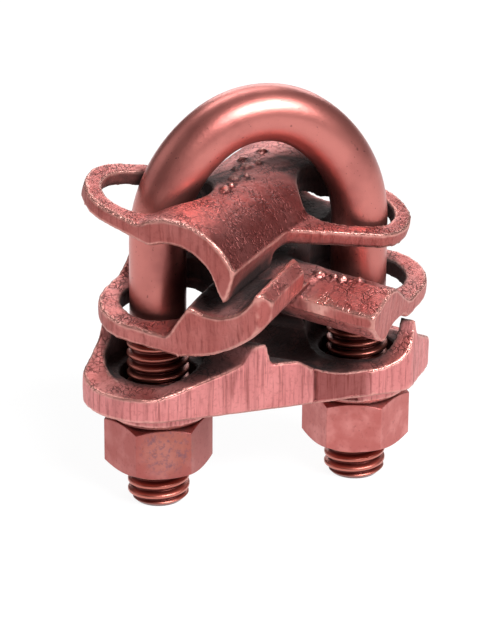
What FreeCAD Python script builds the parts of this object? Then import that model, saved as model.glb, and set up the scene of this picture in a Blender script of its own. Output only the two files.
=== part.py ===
import FreeCAD, Part
import math
import os

# Cross connector: a U-bolt clamps two cables that cross at right angles.
# X runs across the two legs, Z runs up along them, and Z = 0 is at the tips of the legs.
# The upper cable runs along the plan diagonal (+1, +1), the lower cable along (+1, -1).
# All sizes are in millimetres, and angles are in degrees.

# Bolt
leg_spacing = 31.8            # between the axes of the two legs
rod_diameter = 8.5            # smooth rod of the bow and the upper legs
thread_diameter = 9.4         # rolled thread, larger than the rod it is rolled from
thread_length = 29.0
leg_straight = 41.3           # leg tips to the start of the bow
bow_side_radius = 19.4        # bend at each side of the bow, on the rod's axis
bow_side_angle = 56.0         # turn of each side bend, before the crown starts
leg_tip_chamfer = 1.1
thread_runout = 0.3

# Nuts
nut_seat_height = 14.3        # leg tips to the top of the nuts at rest
nut_across_flats = 14.29
nut_height = 8.33
nut_washer_diameter = 13.5
nut_washer_height = 0.4
nut_corner_drop = 0.65        # how far the chamfer cuts the hexagon's corners down
nut_rim_inset = 0.15          # the chamfer starts this far inside the flats
nut_mouth_width = 0.7               # countersink at the open end of the bore
left_nut_angle = -101.4        # heading of one flat
right_nut_angle = -113.0
thread_clearance = 0.05       # radial, nut on thread

# Base, measured up from the nuts
base_ring_offset = 17.0       # centre of the round end from the middle
base_half_width = 10.4        # straight side walls, and the radius of the round ends
base_end_angle = 28.6         # half the arc that each planar end face cuts off
base_wall_foot = 2.2          # lower edge of the side walls
base_ear_top = 6.2
base_boss_diameter = 15.4     # flat boss for the nut
base_hole_clearance = 1.1     # radial, thread in hole
base_groove_radius = 7.6
base_groove_bottom = 6.6
base_shoulder = 9.7           # inner foot of the lips
base_lip_top = 13.0
base_lip_inner = 8.8          # lip's inner edge from the middle
base_lip_width = 1.3
base_lip_draft = 0.6          # how far the lip's inner face slopes in
base_lip_outer_foot = (1.3, 10.3)     # out from the lip, and in height
base_slope_knee = (3.0, 9.4)          # where the slope beside the lip flattens
base_slope_end = 10.5                 # where the slope meets the ear
base_pocket_radius = 7.7      # clearance cut round each leg
base_pocket_floor = 6.7

# Two-way cradle, measured from the bottom of its upper groove
cradle_ring_offset = 17.3
cradle_ring_radius = 8.45
cradle_slot_radius = 5.4
cradle_slot_inner = 13.6      # centre of the slot's inner round
cradle_slot_outer = 16.9
cradle_slot_relief = 0.8      # radial, above the ears
cradle_ear_top = -5.5
cradle_ear_bottom = -8.5
cradle_groove_radius = 7.6
cradle_lip_top = 5.65
cradle_lip_half_width = 9.65
cradle_low_lip = 3.0          # where the groove's low side ends
cradle_low_lip_slope = 3.3    # how far its outer face slopes out to the ear
cradle_lip_reach = 7.8        # where each high lip ends, along the upper cable
cradle_lip_bevel = 1.5        # bevel on the lip's outer top edge
cradle_ear_start = 4.0        # how near to the upper groove's middle each ear begins
cradle_belly_radius = 20.7    # rounded underside of the upper groove's wall
cradle_belly_middle = -8.0    # its lowest line, across the upper cable
cradle_belly_depth = 0.2      # how far it reaches below the ears
cradle_arch_half_width = 7.0  # outer face of the arch over the lower cable
cradle_arch_shoulder = -1.2
cradle_arch_crown = 0.3
cradle_crown_edge = (-0.5, 2.0)       # flat of the crown, across the lower cable
cradle_crown_fall = 0.9               # how far the crown falls over that flat
cradle_inner_slope = (5.0, -3.4)      # knee of the slope towards the inner corner
cradle_flank_drop = 2.2               # upright part of the arch's outer face
cradle_flank_knee = (2.5, -6.4)       # in from the outer face, and in height
cradle_foot_tip = 2.0                 # outer edge of the foot, across the lower cable
cradle_channel_radius = 6.8
cradle_channel_crown = -6.5
cradle_end_facet = 1.6        # facet on the corner below the high lip
cradle_foot_depth = -7.95     # lowest line of the lower channel's foot

# Saddle, measured from the axis of its channel
saddle_ring_offset = 17.65
saddle_ring_radius = 8.1
saddle_slot_radius = 5.4
saddle_slot_inner = 12.95
saddle_slot_outer = 17.6
saddle_slot_relief = 0.5      # radial, above the ears
saddle_ear_top = 7.85
saddle_ear_bottom = 5.2
saddle_channel_radius = 7.4
saddle_crown = 11.5
saddle_crown_radius = 10.6
saddle_shoulder = 6.6         # half width where the crown's curve ends
saddle_flank = 8.35           # half width over the flanks
saddle_flank_top = 7.6
saddle_foot_tip = 2.3
saddle_foot_reach = 6.5       # where each foot ends, along the upper cable
saddle_foot_root = 4.0        # where the foot's inner side meets the arch
saddle_foot_width = 1.6       # from the flank to the foot's inner edge
saddle_foot_edge = 0.6        # from the flank to the tip's line
saddle_foot_draft = 0.3       # how far the tip rises to the flank
saddle_foot_inner_fall = 1.0  # inner edge above the tip
saddle_foot_inner_rise = 1.8  # inner root above the tip
saddle_inner_round = 2.5      # upright inner corners beside the ears

# How the loose pieces lie on the legs
lower_cable_angle = 6.5       # the lower channel turns this much towards the right leg
cradle_lean_angle = 9.55      # forward
cradle_tilt_angle = -0.4
cradle_turn_angle = 0.6
cradle_shift = 0.8
cradle_gap = 0.3              # cradle over the front end of the base's lip
saddle_lean_angle = 14.9      # forward
saddle_tilt_angle = 9.65      # right side down
saddle_turn_angle = 0.3
saddle_shift = -2.8
saddle_rise = 1.4             # saddle's channel axis over the cradle's groove bottom

ORIGIN = FreeCAD.Vector(0, 0, 0)
ALONG_X = FreeCAD.Vector(1, 0, 0)
ALONG_Y = FreeCAD.Vector(0, 1, 0)
UP = FreeCAD.Vector(0, 0, 1)
ROOT_TWO = math.sqrt(2.0)
HIGH = 60.0                   # taller than any forging, for cutting tools
LONG = 80.0                   # longer than any forging, for cutting tools
JOIN = 1.0                    # overlap where two bodies of one forging are joined
INSIDE = 0.1                  # how far a joined corner lies under the surface

leg_x = leg_spacing / 2
rod_radius = rod_diameter / 2
thread_radius = thread_diameter / 2


def diagonal(upper, lower, height=0.0):
    """A point given along the upper cable, along the lower cable, and in height."""
    return FreeCAD.Vector((upper + lower) / ROOT_TWO, (upper - lower) / ROOT_TWO, height)


def half_turn(shape):
    """The same shape turned half a turn about the middle."""
    turned = shape.copy()
    turned.rotate(ORIGIN, UP, 180)
    return turned


def both_ways(shape):
    return shape.fuse(half_turn(shape))


def polygon_face(points):
    return Part.Face(Part.makePolygon(points + points[:1]))


def bar_along_upper(outline, start, end):
    """A bar along the upper cable; its outline is given across it and in height."""
    face = polygon_face([diagonal(start, across, height) for across, height in outline])
    return face.extrude(diagonal(end, 0) - diagonal(start, 0))


def bar_along_lower(outline, start, end):
    """A bar along the lower cable; its outline is given across it and in height."""
    face = polygon_face([diagonal(across, start, height) for across, height in outline])
    return face.extrude(diagonal(0, end) - diagonal(0, start))


def channel_along_upper(radius, height):
    return Part.makeCylinder(radius, LONG, diagonal(-LONG / 2, 0, height), diagonal(1, 0))


def channel_along_lower(radius, height):
    channel = Part.makeCylinder(radius, LONG, diagonal(0, -LONG / 2, height), diagonal(0, 1))
    channel.rotate(ORIGIN, UP, lower_cable_angle)
    return channel


def at_angle(centre_x, radius, angle):
    """A point round a centre on the X axis."""
    turn = math.radians(angle)
    return FreeCAD.Vector(centre_x + radius * math.cos(turn), radius * math.sin(turn), 0)


def round_about(centre_x, radius, start_angle, end_angle):
    """An arc round a centre on the X axis."""
    angles = (start_angle, (start_angle + end_angle) / 2, end_angle)
    return Part.Arc(*[at_angle(centre_x, radius, angle) for angle in angles]).toShape()


def plan_prism(half_outline, bottom, top):
    """A prism from half an outline of edges; the other half is the same after half a turn."""
    edges = []
    for edge in half_outline:
        edges.append(edge)
        edges.append(half_turn(edge))
    wire = Part.Wire(Part.sortEdges(edges)[0])
    prism = Part.Face(wire).extrude(FreeCAD.Vector(0, 0, top - bottom))
    prism.translate(FreeCAD.Vector(0, 0, bottom))
    return prism


def lines(points):
    return [Part.makeLine(first, second) for first, second in zip(points, points[1:])]


def slot_cutter(inner, outer, radius, bottom):
    """A slot for the leg on the right, as a tool that is open at the top."""
    slot = Part.makeBox(outer - inner, 2 * radius, HIGH, FreeCAD.Vector(inner, -radius, bottom))
    for centre in (inner, outer):
        slot = slot.fuse(Part.makeCylinder(radius, HIGH, FreeCAD.Vector(centre, 0, bottom)))
    return slot.removeSplitter()


def cut_slots(body, inner, outer, radius, ear_top, relief):
    """Cuts both leg slots, wider above the ears so that a leaning piece clears the legs."""
    slot = slot_cutter(inner, outer, radius, -HIGH / 2)
    slot = slot.fuse(slot_cutter(inner, outer, radius + relief, ear_top))
    return body.cut(slot).cut(half_turn(slot)).removeSplitter()


def upright_edges_at(shape, places, reach=0.05):
    """The upright edges of a shape that pass through the given plan points."""
    found = []
    for edge in shape.Edges:
        first, last = edge.Vertexes[0].Point, edge.Vertexes[-1].Point
        if (first - last).Length < 0.5 or abs((first - last).normalize().z) < 0.99:
            continue
        for place in places:
            if math.hypot(first.x - place.x, first.y - place.y) < reach:
                found.append(edge)
    return found


def round_upright(shape, places, radius):
    return shape.makeFillet(radius, upright_edges_at(shape, places))


# U-bolt: two threaded legs and a bow of three tangent bends

def make_u_bolt():
    side_centre_x = bow_side_radius - leg_x
    turn = math.radians(bow_side_angle)
    crown_radius = bow_side_radius - side_centre_x / math.cos(turn)
    crown_rise = side_centre_x * math.tan(turn)
    crown_centre = FreeCAD.Vector(0, 0, leg_straight + crown_rise)

    bolt = make_bend(crown_centre, crown_radius, 180 - bow_side_angle, bow_side_angle)
    for side in (-1, 1):
        leg = Part.makeCylinder(rod_radius, leg_straight, FreeCAD.Vector(side * leg_x, 0, 0))
        centre = FreeCAD.Vector(-side * side_centre_x, 0, leg_straight)
        start = 90 - 90 * side
        bend = make_bend(centre, bow_side_radius, start, start + side * bow_side_angle)
        bolt = bolt.fuse(leg).fuse(bend).fuse(make_threaded_leg(side * leg_x))
    for side in (-1, 1):
        bolt = bolt.common(make_tip_envelope(side * leg_x))
    return bolt.removeSplitter()


def make_bend(centre, radius, start, end):
    """A bend of the rod in the plane of the bolt, between two angles up from the right."""
    turn = math.radians(start)
    first = centre + FreeCAD.Vector(radius * math.cos(turn), 0, radius * math.sin(turn))
    heading = FreeCAD.Vector(-math.sin(turn), 0, math.cos(turn))
    section = Part.Face(Part.Wire(Part.makeCircle(rod_radius, first, heading)))
    return section.revolve(centre, FreeCAD.Vector(0, -1, 0), end - start)


def make_threaded_leg(x):
    half = [(0, 0), (thread_radius, 0), (thread_radius, thread_length - thread_runout),
            (rod_radius - INSIDE, thread_length), (0, thread_length)]
    face = polygon_face([FreeCAD.Vector(x + radius, 0, height) for radius, height in half])
    return face.revolve(FreeCAD.Vector(x, 0, 0), UP, 360)


def make_tip_envelope(x):
    """Everything but the chamfer at one leg's tip."""
    block = Part.makeBox(LONG, LONG, LONG, FreeCAD.Vector(-LONG / 2, -LONG / 2, 0))
    tip_radius = thread_radius - leg_tip_chamfer
    sleeve = Part.makeCylinder(thread_radius + JOIN, leg_tip_chamfer, FreeCAD.Vector(x, 0, 0))
    cone = Part.makeCone(tip_radius, thread_radius, leg_tip_chamfer, FreeCAD.Vector(x, 0, 0))
    return block.cut(sleeve.cut(cone))


# Nuts: hexagon, chamfered at both ends, with a washer face on top

def make_nut(x, flat_heading):
    seat = nut_seat_height
    bottom = seat - nut_height
    hexagon_top = seat - nut_washer_height
    circumradius = nut_across_flats / math.sqrt(3.0)
    corners = []
    for count in range(6):
        turn = math.radians(flat_heading + 30 + 60 * count)
        corners.append(FreeCAD.Vector(x + circumradius * math.cos(turn),
                                      circumradius * math.sin(turn), bottom))
    hexagon = polygon_face(corners).extrude(FreeCAD.Vector(0, 0, hexagon_top - bottom))
    flat_radius = nut_across_flats / 2
    rim = flat_radius - nut_rim_inset
    profile = [(0, bottom), (rim, bottom), (circumradius, bottom + nut_corner_drop),
               (circumradius, hexagon_top - nut_corner_drop), (rim, hexagon_top),
               (0, hexagon_top)]
    face = polygon_face([FreeCAD.Vector(x + radius, 0, height) for radius, height in profile])
    nut = hexagon.common(face.revolve(FreeCAD.Vector(x, 0, 0), UP, 360))
    washer = Part.makeCylinder(nut_washer_diameter / 2, nut_washer_height,
                               FreeCAD.Vector(x, 0, hexagon_top))
    bore_radius = thread_radius + thread_clearance
    bore = Part.makeCylinder(bore_radius, nut_height, FreeCAD.Vector(x, 0, bottom))
    wide = bore_radius + nut_mouth_width
    mouth = Part.makeCone(wide, bore_radius, nut_mouth_width, FreeCAD.Vector(x, 0, bottom))
    return nut.fuse(washer).removeSplitter().cut(bore).cut(mouth)


# Base: a trough for the lower cable with lips, two leg holes and a boss under each

def make_base():
    wall = base_half_width
    ring_x = base_ring_offset
    end_heading = lower_cable_angle - 45
    end_near = end_heading - base_end_angle
    end_far = end_heading + base_end_angle
    outline = lines([FreeCAD.Vector(-ring_x, -wall, 0), FreeCAD.Vector(ring_x, -wall, 0)])
    outline.append(round_about(ring_x, wall, -90, end_near))
    outline.extend(lines([at_angle(ring_x, wall, end_near), at_angle(ring_x, wall, end_far)]))
    outline.append(round_about(ring_x, wall, end_far, 90))
    prism = plan_prism(outline, 0, HIGH / 2)

    lip_in = base_lip_inner
    lip_out = lip_in + base_lip_width
    half_section = [(0, base_wall_foot), (HIGH, base_wall_foot), (HIGH, base_ear_top),
                    (lip_out + base_slope_end, base_ear_top),
                    (lip_out + base_slope_knee[0], base_slope_knee[1]),
                    (lip_out + base_lip_outer_foot[0], base_lip_outer_foot[1]),
                    (lip_out, base_lip_top), (lip_in, base_lip_top),
                    (lip_in - base_lip_draft, base_shoulder), (0, base_shoulder)]
    block = bar_along_lower(half_section, -LONG / 2, LONG / 2)
    body = prism.common(both_ways(block))

    axis_height = base_groove_bottom + base_groove_radius
    body = body.cut(channel_along_lower(base_groove_radius, axis_height))
    for x in (-leg_x, leg_x):
        foot = FreeCAD.Vector(x, 0, 0)
        boss = Part.makeCylinder(base_boss_diameter / 2, base_wall_foot + JOIN, foot)
        pocket = Part.makeCylinder(base_pocket_radius, HIGH,
                                   FreeCAD.Vector(x, 0, base_pocket_floor))
        hole = Part.makeCylinder(thread_radius + base_hole_clearance, HIGH, foot)
        body = body.fuse(boss).cut(pocket).cut(hole)
    body = body.removeSplitter()
    body.translate(FreeCAD.Vector(0, 0, nut_seat_height))
    return body


# Two-way cradle: a trough for the upper cable above, a shallow arch over the lower cable below

def make_cradle():
    ring_x = cradle_ring_offset
    ring = cradle_ring_radius
    end = ring_x / ROOT_TWO + ring
    lip = cradle_lip_half_width
    arch = cradle_arch_half_width
    tangent = ring_x / ROOT_TWO

    facet = cradle_end_facet
    outline = lines([diagonal(-end, -tangent), diagonal(-end, lip - facet),
                     diagonal(-end + facet, lip), diagonal(-arch, lip), diagonal(-arch, end),
                     diagonal(tangent, end)])
    outline.append(round_about(ring_x, ring, -45, 45))
    prism = plan_prism(outline, -HIGH / 2, HIGH / 2)

    ear = bar_along_upper([(cradle_ear_start, cradle_ear_bottom), (LONG, cradle_ear_bottom),
                           (LONG, cradle_ear_top), (cradle_ear_start, cradle_ear_top)], 0, LONG)

    buried = cradle_ear_top - INSIDE
    low = cradle_low_lip
    low_height = cradle_groove_radius - math.sqrt(cradle_groove_radius ** 2 - low ** 2)
    trough_foot = low + cradle_low_lip_slope
    trough_outline = [(-trough_foot, buried), (-low, low_height),
                      (-low, cradle_lip_top), (lip - cradle_lip_bevel, cradle_lip_top),
                      (lip, cradle_lip_top - cradle_lip_bevel), (lip, cradle_ear_bottom),
                      (-trough_foot, cradle_ear_bottom)]
    middle_outline = [(-trough_foot, buried), (-low, cradle_arch_crown),
                      (lip, cradle_arch_crown), (lip, cradle_ear_bottom),
                      (-trough_foot, cradle_ear_bottom)]
    trough = bar_along_upper(trough_outline, -end - JOIN, -cradle_lip_reach)
    trough = trough.fuse(bar_along_upper(middle_outline, -cradle_lip_reach - JOIN, JOIN))
    belly_centre = cradle_ear_bottom - cradle_belly_depth + cradle_belly_radius
    belly = Part.makeCylinder(cradle_belly_radius, LONG,
                              diagonal(-LONG / 2, cradle_belly_middle, belly_centre),
                              diagonal(1, 0))
    trough = trough.common(belly)

    arch_outline = [(-arch, cradle_arch_shoulder),
                    (-arch, cradle_arch_shoulder - cradle_flank_drop),
                    (-arch + cradle_flank_knee[0], cradle_flank_knee[1]),
                    (-cradle_foot_tip, cradle_foot_depth),
                    (arch, cradle_foot_depth), (arch + JOIN, buried), cradle_inner_slope,
                    (cradle_crown_edge[1], cradle_arch_crown - cradle_crown_fall),
                    (cradle_crown_edge[0], cradle_arch_crown)]
    lower_bar = bar_along_lower(arch_outline, -JOIN, end + JOIN)

    body = both_ways(trough.fuse(lower_bar).fuse(ear))
    body = body.common(prism)
    body = body.cut(channel_along_upper(cradle_groove_radius, cradle_groove_radius))
    body = body.cut(channel_along_lower(cradle_channel_radius,
                                        cradle_channel_crown - cradle_channel_radius))
    body = cut_slots(body, cradle_slot_inner, cradle_slot_outer, cradle_slot_radius,
                     cradle_ear_top, cradle_slot_relief)
    lay(body, cradle_lean_angle, cradle_tilt_angle, cradle_turn_angle, cradle_origin())
    return body


def lay(shape, lean, tilt, turn, place):
    """Leans a forging forward, tilts it sideways, turns it and puts it in its place."""
    shape.rotate(ORIGIN, ALONG_X, lean)
    shape.rotate(ORIGIN, ALONG_Y, tilt)
    shape.rotate(ORIGIN, UP, turn)
    shape.translate(place)


def centred_on_legs(ear_middle, lean):
    """How far back a leaning forging lies, so that the legs pass the middle of its slots."""
    return ear_middle * math.sin(math.radians(lean))


def cradle_origin():
    lean = math.radians(cradle_lean_angle)
    rise = -cradle_ear_bottom * math.cos(lean) + base_half_width * math.sin(lean)
    height = nut_seat_height + base_lip_top + cradle_gap + rise
    middle = (cradle_ear_top + cradle_ear_bottom) / 2
    return FreeCAD.Vector(cradle_shift, centred_on_legs(middle, cradle_lean_angle), height)


# Saddle: a short arch over the upper cable, with a ring ear round each leg

def make_saddle():
    ring_x = saddle_ring_offset
    ring = saddle_ring_radius
    end = ring_x / ROOT_TWO + ring
    tangent = ring_x / ROOT_TWO
    flank = saddle_flank

    corner = diagonal(-end, flank)
    inner_corner = FreeCAD.Vector(flank * ROOT_TWO - ring, -ring, 0)
    outline = lines([diagonal(-end, -tangent), corner, inner_corner,
                     FreeCAD.Vector(ring_x, -ring, 0)])
    outline.append(round_about(ring_x, ring, -90, 45))
    prism = plan_prism(outline, 0, HIGH / 2)
    prism = round_upright(prism, [inner_corner, -inner_corner], saddle_inner_round)

    ear = Part.makeBox(LONG, LONG, saddle_ear_top - saddle_ear_bottom,
                       FreeCAD.Vector(-LONG / 2, -LONG / 2, saddle_ear_bottom))
    arch = make_saddle_arch(end)
    tip = saddle_foot_tip
    root = saddle_ear_bottom + JOIN
    foot_outline = [(saddle_foot_root, root), (saddle_foot_root, tip + saddle_foot_inner_rise),
                    (flank - saddle_foot_width, tip + saddle_foot_inner_fall),
                    (flank - saddle_foot_edge, tip), (flank, tip + saddle_foot_draft),
                    (flank, root)]
    foot = bar_along_upper(foot_outline, -end, -saddle_foot_reach)
    body = arch.fuse(ear).fuse(both_ways(foot)).common(prism)
    body = body.cut(channel_along_upper(saddle_channel_radius, 0))
    body = cut_slots(body, saddle_slot_inner, saddle_slot_outer, saddle_slot_radius,
                     saddle_ear_top, saddle_slot_relief)
    lay(body, saddle_lean_angle, saddle_tilt_angle, saddle_turn_angle, saddle_origin())
    return body


def make_saddle_arch(end):
    """The arch's solid outside: a rounded crown between two sloped shoulders."""
    flank = saddle_flank
    shoulder = saddle_shoulder
    crown_centre = saddle_crown - saddle_crown_radius
    shoulder_height = crown_centre + math.sqrt(saddle_crown_radius ** 2 - shoulder ** 2)
    right_half = [(flank, saddle_ear_bottom), (flank, saddle_flank_top),
                  (shoulder, shoulder_height)]
    left_half = [(-across, height) for across, height in reversed(right_half)]
    block = bar_along_upper(right_half + left_half, -end, end)
    strip = bar_along_upper([(-shoulder, saddle_ear_bottom), (shoulder, saddle_ear_bottom),
                             (shoulder, HIGH), (-shoulder, HIGH)], -end, end)
    crown = Part.makeCylinder(saddle_crown_radius, LONG,
                              diagonal(-LONG / 2, 0, crown_centre), diagonal(1, 0))
    return block.fuse(strip.common(crown)).removeSplitter()


def saddle_origin():
    middle = (saddle_ear_top + saddle_ear_bottom) / 2
    back = centred_on_legs(middle, saddle_lean_angle)
    return FreeCAD.Vector(saddle_shift, back, cradle_origin().z + saddle_rise)


def main():
    os.makedirs("parts", exist_ok=True)
    pieces = {
        "u_bolt": make_u_bolt(),
        "nut_left": make_nut(-leg_x, left_nut_angle),
        "nut_right": make_nut(leg_x, right_nut_angle),
        "base_plate": make_base(),
        "cross_cradle": make_cradle(),
        "top_saddle": make_saddle(),
    }
    for name, shape in pieces.items():
        if shape.ShapeType == "Compound" and len(shape.Solids) == 1:
            shape = shape.Solids[0]
        box = shape.BoundBox
        print("%-13s solids %d  valid %s  volume %8.1f  box %.2f..%.2f  %.2f..%.2f  %.2f..%.2f" % (
            name, len(shape.Solids), shape.isValid(), shape.Volume,
            box.XMin, box.XMax, box.YMin, box.YMax, box.ZMin, box.ZMax))
        shape.exportStep("parts/" + name + ".step")
    return pieces


main()
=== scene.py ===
# %% [markdown]
# A cross connector for two cables
#
# The real object is a small copper-alloy clamp. A U-bolt holds a saddle, a two-way cradle and a
# base, and two hexagon nuts under the base draw them together on two crossing cables. The sizes
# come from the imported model, in metres. This lesson gives each piece the skin of the real one:
# drawn rod, rolled thread, hot forged faces, sheared sides and cold formed nuts.

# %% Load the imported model
import math

import bmesh
import bpy
from mathutils import Matrix, Vector, noise
from mathutils.bvhtree import BVHTree


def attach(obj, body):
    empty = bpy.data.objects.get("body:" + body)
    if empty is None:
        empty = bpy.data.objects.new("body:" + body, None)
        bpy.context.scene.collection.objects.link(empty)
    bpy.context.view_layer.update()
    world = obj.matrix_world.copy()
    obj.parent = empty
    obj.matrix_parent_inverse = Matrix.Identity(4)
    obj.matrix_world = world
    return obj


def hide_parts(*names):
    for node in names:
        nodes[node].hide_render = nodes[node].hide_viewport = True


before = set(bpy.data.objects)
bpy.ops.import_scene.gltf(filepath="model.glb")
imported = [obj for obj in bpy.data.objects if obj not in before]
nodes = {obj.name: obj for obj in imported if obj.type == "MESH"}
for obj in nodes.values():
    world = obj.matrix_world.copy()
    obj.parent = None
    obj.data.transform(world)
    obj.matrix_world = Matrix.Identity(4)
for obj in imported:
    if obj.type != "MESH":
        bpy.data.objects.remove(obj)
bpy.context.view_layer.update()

MM = 0.001

# %% [markdown]
# The camera
#
# The photograph looks down a little on the clamp, from the left of its front. A camera could be
# turned by three angles in a row. Here its own axes, which are right, up and backwards, are
# built from a heading and a dip in radians, because each of these can be read off and tuned by
# itself. A long lens far away would give a flatter picture, so the lens and the distance match
# how the legs converge.

# %% Camera
HEADING = 0.3359
DIP = 0.3769
ROLL = 0.0074
DISTANCE = 0.450
AIM_HEIGHT = 0.0293
SLIDE_RIGHT, SLIDE_UP = -0.00135, -0.00113
FOCAL_PIXELS, FRAME_HEIGHT = 2994.2, 625
SENSOR_HEIGHT = 24.0

looking = Vector((math.sin(HEADING) * math.cos(DIP), math.cos(HEADING) * math.cos(DIP),
                  -math.sin(DIP)))
level_right = Vector((math.cos(HEADING), -math.sin(HEADING), 0))
level_up = level_right.cross(looking)
right = level_right * math.cos(ROLL) + level_up * math.sin(ROLL)
up = level_up * math.cos(ROLL) - level_right * math.sin(ROLL)
eye = Vector((0, 0, AIM_HEIGHT)) - looking * DISTANCE + right * SLIDE_RIGHT + up * SLIDE_UP

camera = bpy.data.objects.new("camera", bpy.data.cameras.new("camera"))
camera.data.sensor_fit = "VERTICAL"
camera.data.sensor_height = SENSOR_HEIGHT
camera.data.lens = FOCAL_PIXELS * SENSOR_HEIGHT / FRAME_HEIGHT
turn = Matrix((right, up, -looking)).transposed().to_4x4()
camera.matrix_world = Matrix.Translation(eye) @ turn
bpy.context.scene.collection.objects.link(camera)
bpy.context.scene.camera = camera
print("lens %.1f mm at %.0f mm" % (camera.data.lens, DISTANCE / MM))

# %% [markdown]
# Shader sums as plain expressions
#
# A finish is a tree of nodes, and a long tree is hard to read. Arithmetic is easier, so the
# class below wraps one output socket, and each operator adds a Math node. The reflected forms
# let a number stand first, so that `1 - mask * 0.5` builds two nodes.

# %% Wires
class Wire:
    """One output socket of a finish, which can be used in sums."""

    def __init__(self, finish, socket):
        self.finish = finish
        self.socket = socket

    def sum(self, operation, first, second):
        return self.finish.node("ShaderNodeMath", {"operation": operation}, {0: first, 1: second})

    def __add__(self, other):
        return self.sum("ADD", self, other)

    def __radd__(self, other):
        return self.sum("ADD", other, self)

    def __sub__(self, other):
        return self.sum("SUBTRACT", self, other)

    def __rsub__(self, other):
        return self.sum("SUBTRACT", other, self)

    def __mul__(self, other):
        return self.sum("MULTIPLY", self, other)

    def __rmul__(self, other):
        return self.sum("MULTIPLY", other, self)

    def __abs__(self):
        return self.sum("ABSOLUTE", self, 0.0)


print("a wire can be added, subtracted, multiplied and made absolute")

# %% [markdown]
# A finish and its nodes
#
# All other nodes come from one method, which takes a node's type, its settings and what goes
# into its sockets. The methods after it are the few patterns that every metal here needs: a
# soft step, clouds, cracks, layers of colour and a bump. Patterns read Object coordinates,
# because these stay fixed to the piece when it moves.

# %% Finishes
BENT_BY = 1.1
BEND_COARSER = 0.7
SOFT_CRACK = 0.2


class Finish:
    """A material under construction."""

    def __init__(self, name):
        self.material = bpy.data.materials.new(name)
        self.material.use_nodes = True
        self.tree = self.material.node_tree
        self.tree.nodes.clear()

    def node(self, kind, settings=None, inputs=None, output=0):
        made = self.tree.nodes.new(kind)
        for name, value in (settings or {}).items():
            setattr(made, name, value)
        for name, value in (inputs or {}).items():
            if isinstance(value, Wire):
                self.tree.links.new(value.socket, made.inputs[name])
            else:
                made.inputs[name].default_value = value
        return Wire(self, made.outputs[output]) if len(made.outputs) else None

    def place(self, offset=(0, 0, 0)):
        """Object coordinates, moved by an offset so that no two pieces share a pattern."""
        here = self.node("ShaderNodeTexCoord", output="Object")
        return self.node("ShaderNodeVectorMath", {"operation": "ADD"}, {0: here, 1: offset})

    def axes(self, vector):
        return [self.node("ShaderNodeSeparateXYZ", {}, {0: vector}, output=axis) for axis in "XYZ"]

    def distance(self, place, centre):
        return self.node("ShaderNodeVectorMath", {"operation": "DISTANCE"}, {0: place, 1: centre},
                         output="Value")

    def band(self, value, low, high):
        """Rises smoothly from 0 to 1 as the value goes from low to high."""
        return self.node("ShaderNodeMapRange", {"interpolation_type": "SMOOTHSTEP"},
                         {"Value": value, "From Min": low, "From Max": high})

    def mixed(self, share, first, second):
        return self.node("ShaderNodeMix", {"data_type": "RGBA"}, {0: share, 6: first, 7: second},
                         output=2)

    def layered(self, paint, layers):
        """Lays colours over a paint, each with its own share."""
        for share, over in layers:
            paint = self.mixed(share, paint, over)
        return paint

    def stretched(self, coordinates, stretch):
        return self.node("ShaderNodeMapping", {}, {"Vector": coordinates, "Scale": stretch})

    def cloud(self, coordinates, scale, detail, roughness):
        return self.node("ShaderNodeTexNoise", {}, {
            "Vector": coordinates, "Scale": scale, "Detail": detail, "Roughness": roughness})

    def cracks(self, coordinates, scale, width):
        """Thin lines between the cells of a bent Voronoi pattern."""
        bend = self.node("ShaderNodeTexNoise", {},
                         {"Vector": coordinates, "Scale": scale * BEND_COARSER}, output="Color")
        bent = self.node("ShaderNodeVectorMath", {"operation": "MULTIPLY_ADD"},
                         {0: bend, 1: (BENT_BY / scale,) * 3, 2: coordinates})
        gap = self.node("ShaderNodeTexVoronoi", {"feature": "DISTANCE_TO_EDGE"},
                        {"Vector": bent, "Scale": scale}, output="Distance")
        return 1 - self.band(gap, width * SOFT_CRACK, width)

    def attribute(self, name):
        return self.node("ShaderNodeAttribute", {"attribute_name": name}, output="Fac")

    def bumped(self, height, strength, distance):
        return self.node("ShaderNodeBump", {}, {"Height": height, "Strength": strength,
                                                "Distance": distance})

    def surface(self, **sockets):
        inputs = {name.replace("_", " "): value for name, value in sockets.items()}
        self.finished_with(self.node("ShaderNodeBsdfPrincipled", {}, inputs))

    def finished_with(self, shader):
        self.node("ShaderNodeOutputMaterial", {}, {"Surface": shader})


print("patterns ready: band, cloud, cracks")

# %% [markdown]
# Colours
#
# The eye reads a colour from a picture as three numbers from 0 to 255, but a shader works with
# amounts of light. The function turns one into the other by the usual curve of a screen, so
# that the colours below can be written as they look.

# %% Colours
def colour(red, green, blue):
    """A colour as a picture shows it, 0 to 255, turned into light."""
    linear = []
    for part in (red, green, blue):
        part = part / 255
        linear.append(part / 12.92 if part <= 0.04045 else ((part + 0.055) / 1.055) ** 2.4)
    return (*linear, 1.0)


COPPER_LIGHT = colour(216, 138, 133)
COPPER_MID = colour(194, 110, 105)
COPPER_DEEP = colour(126, 60, 56)
# Dark red for scale in cracks and specks, and painted shade in inner corners.
SCALE_AND_SHADE_DARK = colour(52, 20, 20)
# Nearly black, painted as shade where little light gets in.
SHADE_BLACK = colour(14, 8, 9)
# The sheared sides' tone, painted darker as shade on the saddle and cradle and lighter as light on
# the base.
SIDE_SHADED = colour(162, 88, 82)
SIDE_LIT = colour(238, 156, 156)
# Painted shade on the saddle's sloping flanks.
FLANK_SHADE = colour(84, 34, 34)
# Bright, for edge wear and for a painted highlight and glint.
BRIGHT_WORN_AND_GLINT = colour(240, 180, 168)
COPPER_METALLIC = 0.92
print("copper as light", [round(part, 3) for part in COPPER_MID])
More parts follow.
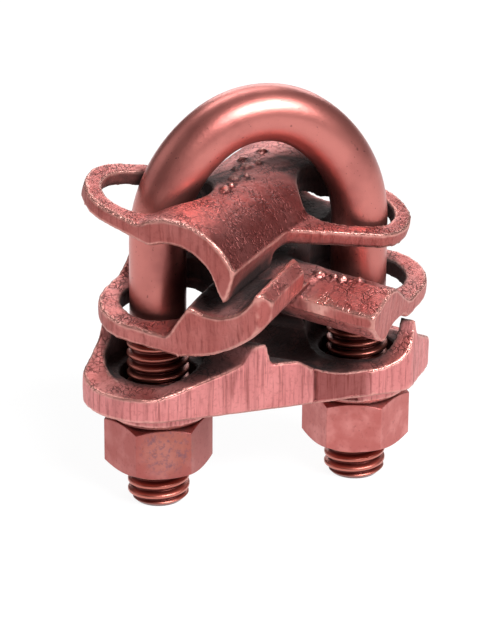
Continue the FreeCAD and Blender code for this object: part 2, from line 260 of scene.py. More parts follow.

# %% [markdown]
# Forged skin
#
# The saddle, cradle and base are hot forgings of a pinkish copper alloy. Their tops keep the
# wrinkled skin of the die and are painted a little darker, partly for that skin and partly as
# shade. Their sides were sheared and show fine upright lines, and are painted darker as shade on
# the saddle and cradle and lighter as light on the base. Edges are worn and painted with a
# highlight, and inner corners, the trimmed mark, the saddle's flanks and the places that little
# light reaches get painted shade. One painted colour would miss all this, and so would patterns
# that ignore the form. The finish tells tops from sides by their normal, and three attributes
# that are stored on each piece further down tell it the rest: `bend` is how strongly the surface
# bends, `opened` is how much of its surroundings a point sees, and `trim` marks where a trimming
# tool pressed. A cloud below is given by its scale, detail and roughness, and a band by the
# values between which it rises.

# %% Patterns of the forged skin
SIDE_NORMAL = (0.30, 0.55)
FLANK_NORMAL = (0.45, 0.95)
EDGE_BEND = (0.64, 0.92)
HOLLOW_BEND = (0.22, 0.42)
OPEN_ENOUGH = (0.26, 0.82)
BROAD_CLOUD, PATCH_CLOUD = (150, 3, 0.55), (420, 2, 0.5)
GRAIN_CLOUD, FINE_CLOUD = (1500, 4, 0.65), (3200, 2, 0.6)
STREAK_CLOUD, STREAK_STRETCH = (2100, 3, 0.6), (1, 1, 0.05)
STRIPE_CLOUD, STRIPE_STRETCH = (800, 2, 0.5), (1, 1, 0.03)
CRACK_SCALE, CRACK_WIDTH = 1250, 0.13


def faces_of_forging(finish):
    """Where a forging has a sheared side, and where its crown turns to a flank."""
    facing, turned, height = finish.axes(finish.node("ShaderNodeTexCoord", output="Normal"))
    side = 1 - finish.band(abs(height), *SIDE_NORMAL)
    flank = finish.band(abs(facing - turned), *FLANK_NORMAL) * (1 - side)
    return side, flank


def sheared_lines(finish, place):
    """Two upright patterns for the sides: fine streaks and broader stripes."""
    streaks = finish.cloud(finish.stretched(place, STREAK_STRETCH), *STREAK_CLOUD)
    stripes = finish.cloud(finish.stretched(place, STRIPE_STRETCH), *STRIPE_CLOUD)
    return streaks, stripes


finest, broadest = 1 / (FINE_CLOUD[0] * MM), 1 / (BROAD_CLOUD[0] * MM)
print("skin patterns from %.1f to %.1f mm" % (finest, broadest))

# %% [markdown]
# Layers of the forged skin
#
# Each mark lies over the one before it: alloy, tones of the tops and sides with their stripes,
# grain, cracks in the skin, painted shade on the flanks and in the trimmed mark, the sheared
# lines, painted shade in the hollows, then edge wear with a painted highlight, and a painted glint
# on the cradle's crown. The paint is laid in this order, each colour with the share that its mask
# gives it. Where little light gets in, painted shade turns the metal nearly black, and it is made
# less metallic and rougher there so that it shows no sheen.

# %% Forged copper
TOP_SKIN_AND_SHADE_DEPTH, STRIPE_DEPTH = 0.10, 0.28
TOP_GRAIN, LESS_ON_SIDE = 0.5, 0.25
CRACK_DEPTH, HOLLOW_SHADE_DEPTH, EDGE_WEAR_AND_HIGHLIGHT, RUBBED_GLINT_DEPTH, SHUT_SHADE_DEPTH = 0.65, 0.6, 0.5, 0.9, 0.95
TRIM_SHADE_DEPTH, LINE_DEPTH, LINE_DEEPER_IN_TRIM = 0.75, 0.55, 0.4
FLANK_SHADE_DEPTH, FLANK_SHADE_DEEPER_IN_GRAIN = 0.6, 0.5
LIGHT_CLOUDS, DEEP_STRIPES, DEEP_GRAIN = (0.35, 0.68), (0.50, 0.74), (0.50, 0.70)
CRACKED_PATCHES, RUBBED_GLINT_PATCHES, DARK_STREAKS = (0.38, 0.62), (0.25, 0.60), (0.48, 0.70)
SKIN_ROUGHNESS = 0.38
GRAIN_ROUGHER, SIDE_ROUGHER, SHUT_ROUGHER = 0.14, 0.06, 0.35
EDGE_SMOOTHER, RUBBED_SMOOTHER = 0.08, 0.14
SHUT_LESS_METALLIC = 0.85
GRAIN_RELIEF, FINE_RELIEF, STREAK_RELIEF, CRACK_RELIEF = 0.6, 0.35, 0.9, 0.6
SKIN_BUMP, SKIN_BUMP_DEPTH = 0.9, 0.13 * MM
# Where the cradle's crown gets a smoother skin and a painted glint.
RUBBED_GLINT_PLACE = (4.5 * MM, -14.0 * MM, 34.0 * MM)
RUBBED_GLINT_CORE, RUBBED_GLINT_REACH = 0.4 * MM, 3.2 * MM


def forged_copper(name, offset, side_colour, side_share, flank_shade_share=0.0, rubbed_glint_at=None):
    finish = Finish(name)
    place = finish.place(offset)
    side, flank = faces_of_forging(finish)
    streaks, stripes = sheared_lines(finish, place)
    broad = finish.cloud(place, *BROAD_CLOUD)
    grain = finish.cloud(place, *GRAIN_CLOUD)
    fine = finish.cloud(place, *FINE_CLOUD)
    patches = finish.cloud(place, *PATCH_CLOUD)
    cracks = finish.cracks(place, CRACK_SCALE, CRACK_WIDTH)
    cracks = cracks * finish.band(patches, *CRACKED_PATCHES) * (1 - side)
    lines = finish.band(streaks, *DARK_STREAKS) * side
    bend = finish.attribute("bend")
    edge = finish.band(bend, *EDGE_BEND)
    hollow = 1 - finish.band(bend, *HOLLOW_BEND)
    shut = 1 - finish.band(finish.attribute("opened"), *OPEN_ENOUGH)
    trim = finish.attribute("trim")

    paint = finish.mixed(finish.band(broad, *LIGHT_CLOUDS), COPPER_MID, COPPER_LIGHT)
    layers = [
        # The tops a little darker: partly the die skin, partly painted shade.
        ((1 - side) * TOP_SKIN_AND_SHADE_DEPTH, COPPER_DEEP),
        # The sheared sides' tone: painted shade on the saddle and cradle, painted light on the
        # base.
        (side * side_share, side_colour),
        (finish.band(stripes, *DEEP_STRIPES) * side * STRIPE_DEPTH, COPPER_DEEP),
        (finish.band(grain, *DEEP_GRAIN) * (TOP_GRAIN - side * LESS_ON_SIDE), COPPER_DEEP),
        (cracks * CRACK_DEPTH, SCALE_AND_SHADE_DARK),
        # Painted shade on the saddle's flanks that turn away from the light.
        (flank * (grain * FLANK_SHADE_DEEPER_IN_GRAIN + FLANK_SHADE_DEPTH) * flank_shade_share, FLANK_SHADE),
        # Painted shade in the trimmed mark on the base's front wall.
        (trim * TRIM_SHADE_DEPTH, COPPER_DEEP),
        (lines * (trim * LINE_DEEPER_IN_TRIM + LINE_DEPTH), COPPER_DEEP),
        # Painted shade in inner corners.
        (hollow * HOLLOW_SHADE_DEPTH, SCALE_AND_SHADE_DARK),
        # Edge wear and a painted highlight on edges and pips.
        (edge * EDGE_WEAR_AND_HIGHLIGHT, BRIGHT_WORN_AND_GLINT)]
    # A place on the cradle's crown: smoother, with a painted glint.
    rubbed_glint = 0.0
    if rubbed_glint_at:
        away = finish.distance(finish.place(), rubbed_glint_at)
        rubbed_glint = 1 - finish.band(away, RUBBED_GLINT_CORE, RUBBED_GLINT_REACH)
        rubbed_glint = rubbed_glint * finish.band(patches, *RUBBED_GLINT_PATCHES)
        layers.append((rubbed_glint * RUBBED_GLINT_DEPTH, BRIGHT_WORN_AND_GLINT))
    # Painted shade, nearly black, where little light gets in.
    layers.append((shut * SHUT_SHADE_DEPTH, SHADE_BLACK))

    roughness = SKIN_ROUGHNESS + grain * GRAIN_ROUGHER + side * SIDE_ROUGHER
    roughness = roughness - edge * EDGE_SMOOTHER + shut * SHUT_ROUGHER - rubbed_glint * RUBBED_SMOOTHER
    relief = grain * GRAIN_RELIEF + fine * FINE_RELIEF + (streaks * STREAK_RELIEF + stripes) * side
    relief = relief - cracks * CRACK_RELIEF
    finish.surface(Base_Color=finish.layered(paint, layers), Roughness=roughness,
                   Metallic=COPPER_METALLIC - shut * SHUT_LESS_METALLIC,
                   Normal=finish.bumped(relief, SKIN_BUMP, SKIN_BUMP_DEPTH))
    return finish.material


forged = {
    "top_saddle": forged_copper("saddle_skin", (0.0, 0.0, 0.0), SIDE_SHADED, 0.65, 0.75),
    "cross_cradle": forged_copper("cradle_skin", (0.021, 0.013, 0.034), SIDE_SHADED, 0.4,
                                  rubbed_glint_at=RUBBED_GLINT_PLACE),
    "base_plate": forged_copper("base_skin", (0.044, 0.027, 0.011), SIDE_LIT, 0.6),
}
print("forged finishes", len(forged))

# %% [markdown]
# Drawn rod and rolled thread
#
# The bow is drawn rod: smooth, satin and a little darker, with faint tarnish. The rolled
# threads are deep red, and their roots are painted darker as shade. Where little light gets in,
# painted shade darkens the rod as well. Two materials on one mesh would need a seam between
# them. Both are one piece of rod, so one finish tells them apart by their height, and crests
# from roots by their distance to the leg's axis.

# %% Rod finish
ROD_MID = colour(204, 122, 114)
ROD_DARK = colour(134, 66, 64)
THREAD_MID = colour(200, 116, 102)
# Thread roots painted darker as shade.
THREAD_ROOT_SHADE = colour(104, 40, 34)
LEG_X = 15.9 * MM
THREAD_TOP = 29.0 * MM
THREAD_BLEND = 0.4 * MM
CREST_RADIUS = 4.70 * MM
ROOT_RADIUS = 3.80 * MM
CREST_FLAT = 0.15 * MM
TARNISH_CLOUD, SPECK_CLOUD, DRAWN_CLOUD = (130, 3, 0.5), (1700, 2, 0.5), (3600, 2, 0.6)
TARNISH, SPECKS = (0.42, 0.75), (0.68, 0.74)
TARNISH_DEPTH, SPECK_DEPTH, ROD_SHUT_SHADE_DEPTH = 0.5, 0.5, 0.4
ROD_OPEN_ENOUGH = (0.10, 0.55)
ROD_ROUGHNESS, TARNISH_ROUGHER, SPECK_ROUGHER = 0.30, 0.10, 0.06
ROD_COAT, COAT_ROUGHNESS = 0.35, 0.3
ROD_BUMP, SMOOTH_BUMP_DEPTH = 0.35, 0.05 * MM


def drawn_rod(name):
    finish = Finish(name)
    place = finish.place()
    tarnish = finish.cloud(place, *TARNISH_CLOUD)
    specks = finish.cloud(place, *SPECK_CLOUD)
    drawn = finish.cloud(place, *DRAWN_CLOUD)

    across, along, height = finish.axes(place)
    from_axis = finish.node("ShaderNodeCombineXYZ", {}, {"X": abs(across) - LEG_X, "Y": along})
    depth = finish.distance(from_axis, (0, 0, 0))
    crest = finish.band(depth, ROOT_RADIUS, CREST_RADIUS - CREST_FLAT)
    thread = 1 - finish.band(height, THREAD_TOP - THREAD_BLEND, THREAD_TOP + THREAD_BLEND)
    shut = 1 - finish.band(finish.attribute("opened"), *ROD_OPEN_ENOUGH)
    paint = finish.layered(ROD_MID, [
        (finish.band(tarnish, *TARNISH) * TARNISH_DEPTH, ROD_DARK),
        (finish.band(specks, *SPECKS) * SPECK_DEPTH, SCALE_AND_SHADE_DARK),
        # Thread roots painted darker as shade.
        (thread, finish.mixed(crest, THREAD_ROOT_SHADE, THREAD_MID)),
        # Painted shade where little light gets in.
        (shut * ROD_SHUT_SHADE_DEPTH, SHADE_BLACK)])

    roughness = ROD_ROUGHNESS + tarnish * TARNISH_ROUGHER + specks * SPECK_ROUGHER
    finish.surface(Base_Color=paint, Metallic=COPPER_METALLIC, Roughness=roughness,
                   Normal=finish.bumped(specks + drawn, ROD_BUMP, SMOOTH_BUMP_DEPTH),
                   Coat_Weight=ROD_COAT, Coat_Roughness=COAT_ROUGHNESS)
    return finish.material


rod_finish = drawn_rod("drawn_rod")
print("the thread ends %.1f mm up the leg" % (THREAD_TOP / MM))

# %% [markdown]
# Nut finish
#
# The nuts are cold formed, so they are even and clean, and one flat of the left nut keeps a
# blue-grey stain. The stain could be an image. A distance from a point and a speckled cloud
# need none, and give it a soft, uneven rim.

# %% Nut finishes
STAIN = colour(104, 84, 104)
STRAW = colour(186, 124, 102)
NUT_CLOUD, NUT_GRAIN_CLOUD, SPOT_CLOUD = (260, 3, 0.55), (1700, 3, 0.6), (1300, 4, 0.7)
NUT_LIGHT, NUT_GRAIN, STAIN_SPOTS = (0.4, 0.7), (0.56, 0.74), (0.46, 0.66)
NUT_GRAIN_DEPTH, STRAW_DEPTH, STAIN_DEPTH = 0.3, 0.3, 0.6
NUT_ROUGHNESS, NUT_GRAIN_ROUGHER = 0.38, 0.1
NUT_BUMP = 0.25
STAIN_PLACE = (-16.8 * MM, -7.1 * MM, 10.8 * MM)
STAIN_CORE, STAIN_REACH = 2.0 * MM, 5.5 * MM


def formed_nut(name, offset, deep_share, stained_at=None):
    finish = Finish(name)
    moved = finish.place(offset)
    grain = finish.cloud(moved, *NUT_GRAIN_CLOUD)
    light = finish.band(finish.cloud(moved, *NUT_CLOUD), *NUT_LIGHT)
    layers = [(light, COPPER_LIGHT),
              (finish.band(grain, *NUT_GRAIN) * NUT_GRAIN_DEPTH + deep_share, COPPER_DEEP)]
    if stained_at:
        away = finish.distance(finish.place(), stained_at)
        stained = 1 - finish.band(away, STAIN_CORE, STAIN_REACH)
        spots = finish.band(finish.cloud(moved, *SPOT_CLOUD), *STAIN_SPOTS)
        layers += [(stained * STRAW_DEPTH, STRAW), (stained * spots * STAIN_DEPTH, STAIN)]
    finish.surface(Base_Color=finish.layered(COPPER_MID, layers), Metallic=COPPER_METALLIC,
                   Roughness=NUT_ROUGHNESS + grain * NUT_GRAIN_ROUGHER,
                   Normal=finish.bumped(grain, NUT_BUMP, SMOOTH_BUMP_DEPTH))
    return finish.material


nut_finish = {
    "nut_left": formed_nut("left_nut_skin", (0.0, 0.0, 0.0), 0.36, STAIN_PLACE),
    "nut_right": formed_nut("right_nut_skin", (0.017, 0.008, 0.002), 0.0)}
print("stained nut", nut_finish["nut_left"].name)

# %% [markdown]
# Rounding a forging
#
# A forging has no sharp edges: metal flows in the die and leaves small rounds outside and
# larger ones in its inner corners. A bevel would need each edge picked by hand, and gives every
# edge the same round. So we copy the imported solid, weld its loose triangles, rebuild it as an
# even fine mesh and let the points relax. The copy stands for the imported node, which stays as
# it is.

# %% Helpers that make a piece
WELD = 0.002 * MM
RELAX_FACTOR = 0.5


def piece_from(name, shaped, material, smooth=True):
    """Turns a bmesh into a piece at the origin."""
    mesh = bpy.data.meshes.new(name)
    shaped.to_mesh(mesh)
    shaped.free()
    mesh.materials.append(material)
    for face in mesh.polygons:
        face.use_smooth = smooth
    made = bpy.data.objects.new(name, mesh)
    bpy.context.scene.collection.objects.link(made)
    return made


def welded(node):
    """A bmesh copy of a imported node, with its loose triangles joined."""
    shaped = bmesh.new()
    shaped.from_mesh(nodes[node].data)
    bmesh.ops.remove_doubles(shaped, verts=shaped.verts, dist=WELD)
    return shaped


def applied(piece):
    """Bakes a piece's modifiers into its mesh."""
    settled = piece.evaluated_get(bpy.context.evaluated_depsgraph_get())
    mesh = bpy.data.meshes.new_from_object(settled)
    piece.modifiers.clear()
    piece.data = mesh
    return piece


def rebuilt(piece, voxel):
    """Rebuilds a piece as an even mesh."""
    rebuild = piece.modifiers.new("rebuild", "REMESH")
    rebuild.mode = "VOXEL"
    rebuild.voxel_size = voxel
    rebuild.use_smooth_shade = True
    return applied(piece)


def relaxed(piece, rounds, weights=None):
    """Relaxes a mesh, everywhere or as much as the weights say."""
    relax = piece.modifiers.new("relax", "SMOOTH")
    relax.factor = RELAX_FACTOR
    relax.iterations = rounds
    if weights:
        group = piece.vertex_groups.new(name="relax")
        for index, weight in enumerate(weights):
            group.add([index], weight, "REPLACE")
        relax.vertex_group = group.name
    return applied(piece)


print("points closer than", WELD / MM, "mm weld")

# %% [markdown]
# How the surface bends
#
# Wear and a painted highlight follow edges, and painted shade goes in inner corners. Both can be
# found from the mesh alone: a point that stands out from the middle of its neighbours is on an
# edge, and one that lies below it is in a corner. The values are averaged over a few rounds, so
# that single triangles don't show, and are stored on the piece as an attribute.

# %% Helpers that read the surface
def smooth_step(low, high, value):
    share = min(max((value - low) / (high - low), 0.0), 1.0)
    return share * share * (3 - 2 * share)


def neighbours(piece):
    near = [[] for vertex in piece.data.vertices]
    for edge in piece.data.edges:
        first, second = edge.vertices
        near[first].append(second)
        near[second].append(first)
    return near


def spread(values, near, rounds):
    """Averages the values of each point with those of its neighbours."""
    for count in range(rounds):
        values = [(value + sum(values[other] for other in around)) / (1 + len(around))
                  for value, around in zip(values, near)]
    return values


def bends(piece, near, rounds):
    """How the surface bends at each point: positive on edges, negative in inner corners."""
    points = [vertex.co for vertex in piece.data.vertices]
    values = []
    for vertex, around in zip(piece.data.vertices, near):
        middle = sum((points[other] for other in around), Vector()) / len(around)
        reach = sum((points[other] - vertex.co).length for other in around) / len(around)
        values.append((vertex.co - middle).dot(vertex.normal) * MM / reach ** 2)
    return spread(values, near, rounds)


def store(piece, name, values):
    stored = piece.data.attributes.new(name, "FLOAT", "POINT")
    stored.data.foreach_set("value", values)


print("a half step gives", smooth_step(0, 1, 0.5))

# %% [markdown]
# Between the pieces the real clamp is nearly black, because little light gets in there, and the
# finishes paint this shade into the colour. A shader's own ambient occlusion would change with the
# pieces at every pose, and this painted shade doesn't. So each point looks out once, at rest, in a
# dome of directions that spiral evenly round its normal, and the share that meets no metal close
# by is stored. The start is lifted a little, so that the fine skin, or the thread, doesn't count
# as a wall.

# %% Helpers that look outwards
DOME_RAYS = 12
DOME_REACH = 14 * MM
SPIRAL_TURN = 2.4
OPEN_ROUNDS = 2
SKIN_LIFT, THREAD_LIFT = 0.35 * MM, 1.1 * MM


def all_nodes_tree():
    """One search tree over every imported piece, at rest."""
    points, faces = [], []
    for node in nodes.values():
        first = len(points)
        points.extend(node.matrix_world @ vertex.co for vertex in node.data.vertices)
        faces.extend([first + corner for corner in face.vertices] for face in node.data.polygons)
    return BVHTree.FromPolygons(points, faces)


def openness(piece, packed, near, lift):
    """The share of directions over each point that meet no metal close by."""
    dome = []
    for count in range(DOME_RAYS):
        height = math.sqrt(1 - (count + 0.5) / DOME_RAYS)
        flat = math.sqrt(1 - height * height)
        angle = SPIRAL_TURN * count
        dome.append(Vector((flat * math.cos(angle), flat * math.sin(angle), height)))
    values = []
    for vertex in piece.data.vertices:
        start = vertex.co + vertex.normal * lift
        turn = vertex.normal.to_track_quat("Z", "Y").to_matrix()
        free = sum(packed.ray_cast(start, turn @ way, DOME_REACH)[0] is None for way in dome)
        values.append(free / DOME_RAYS)
    return spread(values, near, OPEN_ROUNDS)


packed_tree = all_nodes_tree()
print("each point looks out in", DOME_RAYS, "directions")

# %% [markdown]
# Pips on the crowns
#
# Old dies are pitted, and each pit leaves a small rounded pip on the crown that it pressed.
# Each pip could be a piece of its own, but then it would sit on the skin with a hard rim. Here
# the skin itself rises, and a noise bends each pip's outline so that no two are alike. The mesh
# is made finer there first. A pip is given in millimetres: across, along and its radius.

# %% Pips
FACING_UP = 0.6
PIP_HEIGHT, PIP_REACH = 0.55 * MM, 1.4 * MM
PIP_FLAT, PIP_UNEVEN, PIP_WAVE = 0.1, 0.35, 0.7 * MM
SADDLE_PIPS = [(-7.0, -4.7, 1.1), (-5.7, -3.6, 0.7), (-4.6, -1.5, 1.0), (-2.5, -0.9, 0.6),
               (-3.3, 1.9, 0.8), (-1.5, 2.3, 1.2), (0.9, 3.4, 0.7), (-0.9, 5.4, 1.0),
               (2.9, 7.3, 1.1)]
CRADLE_PIPS = [(6.4, -8.5, 1.0), (8.3, -9.9, 0.7), (9.4, -10.6, 1.1), (11.6, -11.5, 0.9)]


def pips(places, floor_height):
    """A function that raises small uneven pips on a crown above the given height."""
    def raised(point, normal):
        if normal.z < FACING_UP or point.z < floor_height:
            return 0.0
        height = 0.0
        for x, y, radius in places:
            away = math.hypot(point.x - x * MM, point.y - y * MM) / (radius * MM)
            away *= 1 + PIP_UNEVEN * noise.noise(point / PIP_WAVE)
            height = max(height, 1 - smooth_step(PIP_FLAT, 1.0, away))
        return PIP_HEIGHT * height
    return raised


def refined(piece, places, floor_height):
    """Makes the mesh finer around the pips."""
    shaped = bmesh.new()
    shaped.from_mesh(piece.data)
    close = set()
    for vertex in shaped.verts:
        if vertex.normal.z > FACING_UP and vertex.co.z > floor_height:
            away = min(math.hypot(vertex.co.x - x * MM, vertex.co.y - y * MM)
                       for x, y, radius in places)
            if away < PIP_REACH:
                close.add(vertex)
    fine = [edge for edge in shaped.edges if edge.verts[0] in close and edge.verts[1] in close]
    bmesh.ops.subdivide_edges(shaped, edges=fine, cuts=1, use_grid_fill=True)
    shaped.to_mesh(piece.data)
    shaped.free()


print("pips", len(SADDLE_PIPS) + len(CRADLE_PIPS))

# %% [markdown]
# The hammered skin
#
# Two more things shape the skin: a low hammered wave everywhere, and finer wrinkles on the
# faces that the die pressed. A bump in the material would only shade them, and the outline
# would stay as smooth as glass, so the points move. They go inwards, so that the piece keeps
# its packed size. On the front wall of the base a trimming tool left a shallow mark.

# %% Skin
WAVE_SIZE, WAVE_DEPTH, WAVE_LEVEL, WAVE_SHARE = 2.4 * MM, 0.10 * MM, 0.8, 0.6
WAVE_FADE, WAVE_GAP, WAVE_OCTAVES = 1.0, 2.0, 2
WRINKLE_SIZE, WRINKLE_DEPTH, WRINKLE_WIDTH = 0.85 * MM, 0.05 * MM, 0.25
PRESSED_NORMAL = (0.75, 0.95)
RECESS_FROM, RECESS_TO = 4.9 * MM, 12.9 * MM
RECESS_RISE, RECESS_FALL = 0.5 * MM, 2.0 * MM
RECESS_DEPTH = 0.45 * MM
FACING_FRONT = -0.7


def base_recess(point, normal):
    """A shallow mark that the trimming tool left on the front wall of the base."""
    if normal.y > FACING_FRONT:
        return 0.0
    rise = smooth_step(RECESS_FROM, RECESS_FROM + RECESS_RISE, point.x)
    fall = 1 - smooth_step(RECESS_TO, RECESS_TO + RECESS_FALL, point.x)
    return -RECESS_DEPTH * rise * fall


def trimmed(point, normal):
    """How far a point lies in the mark that the trimming tool left."""
    return -base_recess(point, normal) / RECESS_DEPTH


def skin(extra):
    def amount(point, normal):
        pressed = smooth_step(*PRESSED_NORMAL, abs(normal.z))
        wave = noise.fractal(point / WAVE_SIZE, WAVE_FADE, WAVE_GAP, WAVE_OCTAVES)
        wrinkle = abs(noise.noise(point / WRINKLE_SIZE))
        sunk = WAVE_DEPTH * (wave - WAVE_LEVEL) * WAVE_SHARE
        sunk -= WRINKLE_DEPTH * pressed * smooth_step(WRINKLE_WIDTH, 0.0, wrinkle)
        return sunk + extra(point, normal)
    return amount


def moved_by(piece, amount):
    """Moves each point along its normal by what the function says."""
    places = [vertex.co + vertex.normal * amount(vertex.co, vertex.normal)
              for vertex in piece.data.vertices]
    for vertex, place in zip(piece.data.vertices, places):
        vertex.co = place
    piece.data.update()


crowns = {"top_saddle": (SADDLE_PIPS, 47 * MM), "cross_cradle": (CRADLE_PIPS, 34 * MM)}
extras = {node: pips(*crown) for node, crown in crowns.items()}
extras["base_plate"] = base_recess
print("shaped skins", sorted(extras))

# %% [markdown]
# Saddle, cradle and base
#
# Each forging now goes through the same steps. Its inner corners relax the longest, which gives
# them the large rounds that a die needs, and then all of it relaxes, which takes the edge off
# every rim. Openness is read before the skin is shaped, and bends after it, so that the pips get
# the bright paint of raised places, which stands for wear and a painted highlight.

# %% Forgings
FORGING_VOXEL = 0.30 * MM
EDGE_ROUNDS = 15
CORNER_ROUNDS = 24
CORNER_BEND, CORNER_START = 0.39, 0.3
BEND_MIDDLE, BEND_GAIN = 0.5, 1.3
BEND_ROUNDS, INNER_ROUNDS = 2, 3
forging_body = {"top_saddle": "saddle", "cross_cradle": "cradle", "base_plate": "base"}
for node, body in forging_body.items():
    piece = rebuilt(piece_from("forged_" + node, welded(node), forged[node]), FORGING_VOXEL)
    near = neighbours(piece)
    inner = [smooth_step(CORNER_BEND * CORNER_START, CORNER_BEND, -value)
             for value in bends(piece, near, BEND_ROUNDS)]
    relaxed(piece, CORNER_ROUNDS, spread(inner, near, INNER_ROUNDS))
    relaxed(piece, EDGE_ROUNDS)
    if node in crowns:
        refined(piece, *crowns[node])
        near = neighbours(piece)
    store(piece, "opened", openness(piece, packed_tree, near, SKIN_LIFT))
    if node == "base_plate":
        store(piece, "trim", [trimmed(vertex.co, vertex.normal) for vertex in piece.data.vertices])
    moved_by(piece, skin(extras[node]))
    store(piece, "bend", [BEND_MIDDLE + value * BEND_GAIN
                          for value in bends(piece, near, BEND_ROUNDS)])
    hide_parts(node)
    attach(piece, body)
    print(piece.name, "has", len(piece.data.polygons), "faces")

# %% [markdown]
# Rolled thread
#
# A thread is a screw sweep. A helix of triangles could be cut from a bar, but that is slow and
# leaves poor edges. We draw one side of a leg as a line of points, with a wave for the thread,
# and spin it once while it climbs by one pitch, so that the first and last lines fall on each
# other and weld. Planes then cut the leg to length, and the last turns fade into the plain rod
# as a roll leaves them.

# %% Thread
PITCH = 25.4 / 16 * MM
THREAD_RISE, THREAD_FALL = (0.06, 0.40), (0.94, 0.60)
ROD_RADIUS = 4.25 * MM
LEG_STRAIGHT = 41.3 * MM
SPARE_PITCHES = 3
TIP_CHAMFER = 1.1 * MM
THREAD_FADE = 1.6 * MM
POINTS_PER_PITCH = 12
AROUND = 48
THREAD_WELD, CUT_SLACK, ON_PLANE = 0.004 * MM, 0.001 * MM, 0.01 * MM


def thread_radius(height):
    """Round crests and narrower roots, from the height within one pitch."""
    phase = (height / PITCH) % 1.0
    rise = smooth_step(*THREAD_RISE, phase) * smooth_step(*THREAD_FALL, phase)
    return ROOT_RADIUS + (CREST_RADIUS - ROOT_RADIUS) * rise


def threaded_leg(shaped):
    pitches = int(math.ceil((LEG_STRAIGHT + SPARE_PITCHES * PITCH) / PITCH))
    heights = [LEG_STRAIGHT + PITCH * (1 - count / POINTS_PER_PITCH)
               for count in range(pitches * POINTS_PER_PITCH)]
    points = [shaped.verts.new((thread_radius(height), 0, height)) for height in heights]
    edges = [shaped.edges.new(pair) for pair in zip(points, points[1:])]
    bmesh.ops.spin(shaped, geom=points + edges, cent=(0, 0, 0), axis=(0, 0, 1),
                   dvec=(0, 0, PITCH / AROUND), angle=math.tau, steps=AROUND)
    bmesh.ops.remove_doubles(shaped, verts=shaped.verts, dist=THREAD_WELD)
    for height, cut in ((0.0, "clear_inner"), (LEG_STRAIGHT, "clear_outer")):
        bmesh.ops.bisect_plane(shaped, geom=shaped.verts[:] + shaped.edges[:] + shaped.faces[:],
                               plane_co=(0, 0, height), plane_no=(0, 0, 1), dist=CUT_SLACK,
                               **{cut: True})
    for vertex in shaped.verts:
        radius = math.hypot(vertex.co.x, vertex.co.y)
        thread = 1 - smooth_step(THREAD_TOP - THREAD_FADE, THREAD_TOP, vertex.co.z)
        wanted = ROD_RADIUS + (radius - ROD_RADIUS) * thread
        wanted = min(wanted, CREST_RADIUS - TIP_CHAMFER + vertex.co.z)
        vertex.co.x *= wanted / radius
        vertex.co.y *= wanted / radius
    tip = [edge for edge in shaped.edges if edge.is_boundary
           and all(abs(vertex.co.z) < ON_PLANE for vertex in edge.verts)]
    bmesh.ops.contextual_create(shaped, geom=tip)


bolt = bmesh.new()
threaded_leg(bolt)
print("one leg has", len(bolt.faces), "faces")

# %% [markdown]
# The bow
#
# The real rod is bent hot round a former, so its bow is three arcs that run into each other,
# not half a circle. A bent curve with a round section would need its end sewn to the threaded
# legs. Here the upper ring of the left leg is spun round three centres instead, and ends on the
# ring of the right leg, so that leg and bow are one closed skin.

# %% U-bolt
SIDE_RADIUS, SIDE_ANGLE = 19.4 * MM, math.radians(56.0)
SIDE_STEPS, CROWN_STEPS = 16, 20
BOW_WELD = 0.02 * MM
bmesh.ops.translate(bolt, verts=bolt.verts, vec=(-LEG_X, 0, 0))
second_leg = bmesh.ops.duplicate(bolt, geom=bolt.verts[:] + bolt.edges[:] + bolt.faces[:])
second_points = [item for item in second_leg["geom"] if isinstance(item, bmesh.types.BMVert)]
bmesh.ops.translate(bolt, verts=second_points, vec=(2 * LEG_X, 0, 0))
ring = [edge for edge in bolt.edges if edge.is_boundary and edge.verts[0].co.x < 0
        and min(edge.verts[0].co.z, edge.verts[1].co.z) > LEG_STRAIGHT - ON_PLANE]
ring_points = list(dict.fromkeys(vertex for edge in ring for vertex in edge.verts))
side_x = SIDE_RADIUS - LEG_X
rise = side_x * math.tan(SIDE_ANGLE)
bow = [(Vector((side_x, 0, LEG_STRAIGHT)), SIDE_ANGLE, SIDE_STEPS),
       (Vector((0, 0, LEG_STRAIGHT + rise)), math.pi - 2 * SIDE_ANGLE, CROWN_STEPS),
       (Vector((-side_x, 0, LEG_STRAIGHT)), SIDE_ANGLE, SIDE_STEPS)]
moving = ring + ring_points
for centre, angle, steps in bow:
    spun = bmesh.ops.spin(bolt, geom=moving, cent=centre, axis=(0, 1, 0), angle=angle, steps=steps)
    moving = spun["geom_last"]
bmesh.ops.remove_doubles(bolt, verts=bolt.verts, dist=BOW_WELD)
bmesh.ops.recalc_face_normals(bolt, faces=bolt.faces)
open_edges = sum(edge.is_boundary for edge in bolt.edges)
bolt_piece = piece_from("formed_u_bolt", bolt, rod_finish)
store(bolt_piece, "opened",
      openness(bolt_piece, packed_tree, neighbours(bolt_piece), THREAD_LIFT))
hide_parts("u_bolt")
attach(bolt_piece, "bolt")
print(bolt_piece.name, "has", len(bolt_piece.data.polygons), "faces and", open_edges, "open edges")

# %% [markdown]
# Nuts
#
# A cold formed hexagon nut has crisp edges with a tiny round that catches the light. Rebuilding
# it as the forgings are would soften its flats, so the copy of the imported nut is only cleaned
# of the lines between its triangles, and a narrow bevel goes on the edges that turn sharply.

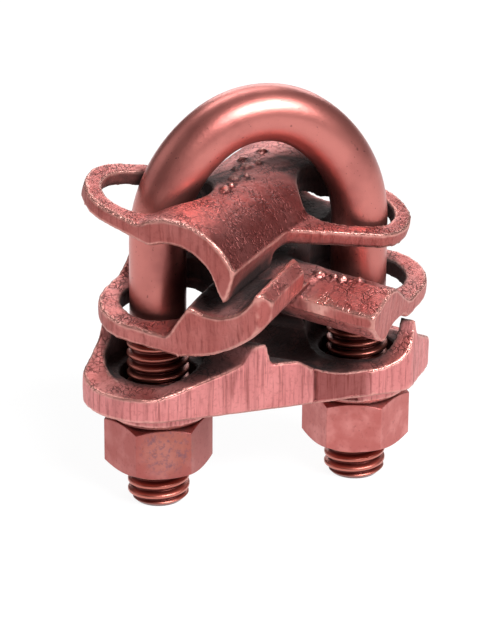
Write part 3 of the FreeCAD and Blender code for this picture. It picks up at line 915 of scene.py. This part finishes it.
# %% Nuts
NUT_ROUND = 0.16 * MM
FLAT_TURN, SHARP_TURN = math.radians(1.0), math.radians(20)
nut_body = {"nut_left": "left_nut", "nut_right": "right_nut"}
for node, body in nut_body.items():
    shaped = welded(node)
    bmesh.ops.dissolve_limit(shaped, angle_limit=FLAT_TURN, verts=shaped.verts,
                             edges=shaped.edges)
    sharp = [edge for edge in shaped.edges
             if len(edge.link_faces) == 2 and edge.calc_face_angle() > SHARP_TURN]
    bmesh.ops.bevel(shaped, geom=sharp, offset=NUT_ROUND, affect="EDGES", segments=2,
                    profile=0.5, material=-1, clamp_overlap=True)
    piece = piece_from("formed_" + node, shaped, nut_finish[node], smooth=False)
    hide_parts(node)
    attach(piece, body)
    print(piece.name, "has", len(piece.data.polygons), "faces")

# %% [markdown]
# Floor
#
# The photograph has a plain white ground. A white floor under enough light to look white would
# flood the clamp with light from below. So the floor is a matt grey sheet that takes the soft
# shadow, and the camera, and whatever metal or glass mirrors, see mostly an even white glow in
# its place.

# %% Stage
FLOOR_SIZE = 3.0
FLOOR_GREY = (0.66, 0.66, 0.66, 1)
GLOW, GLOW_SHARE = 1.12, 0.82
floor_shape = bmesh.new()
bmesh.ops.create_grid(floor_shape, x_segments=1, y_segments=1, size=FLOOR_SIZE)
floor_finish = Finish("pale_floor")
rays = ("Is Camera Ray", "Is Glossy Ray", "Is Transmission Ray")
to_camera, to_metal, to_glass = (floor_finish.node("ShaderNodeLightPath", output=ray)
                                 for ray in rays)
seen = to_camera + to_metal + to_glass
matt = floor_finish.node("ShaderNodeBsdfDiffuse", {}, {"Color": FLOOR_GREY})
shown = floor_finish.node("ShaderNodeEmission", {}, {"Color": (1, 1, 1, 1), "Strength": GLOW})
floor_finish.finished_with(
    floor_finish.node("ShaderNodeMixShader", {}, {0: seen * GLOW_SHARE, 1: matt, 2: shown}))
floor = piece_from("floor", floor_shape, floor_finish.material)
print("floor", FLOOR_SIZE * 2, "m wide")

# %% [markdown]
# Light
#
# The photograph was lit by broad soft lamps, mostly from above the front. Copper shows what
# surrounds it, so the room is dim and the lamps are large: a strong one above the front, a
# faint one at the left, one behind that draws the rims, and a narrow one overhead for the
# crowns. Small lamps would leave hard sparks, and a bright room would wash out the dark edges.

# %% Light
ROOM_LIGHT = 0.06
LAMP_AIM = (0, 0, 0.03)
world = bpy.data.worlds.new("studio")
world.use_nodes = True
sky = world.node_tree.nodes["Background"]
sky.inputs["Color"].default_value = (1, 1, 1, 1)
sky.inputs["Strength"].default_value = ROOM_LIGHT
bpy.context.scene.world = world


def soft_lamp(name, place, width, height, power):
    """A lamp that points at the clamp, with its size in metres and its power in watts."""
    light = bpy.data.lights.new(name, "AREA")
    light.shape = "RECTANGLE"
    light.size, light.size_y = width, height
    light.energy = power
    lamp = bpy.data.objects.new(name, light)
    lamp.location = place
    lamp.rotation_euler = (Vector(LAMP_AIM) - Vector(place)).to_track_quat("-Z", "Y").to_euler()
    bpy.context.scene.collection.objects.link(lamp)


soft_lamp("key", (0.16, -0.46, 0.52), 0.50, 0.26, 8.2)
soft_lamp("left", (-0.55, 0.30, 0.30), 0.50, 0.50, 0.5)
soft_lamp("back", (0.36, 0.92, 0.40), 0.80, 0.40, 3.0)
soft_lamp("top", (0.02, 0.42, 0.66), 0.60, 0.18, 1.9)
bpy.context.scene.view_settings.view_transform = "Standard"
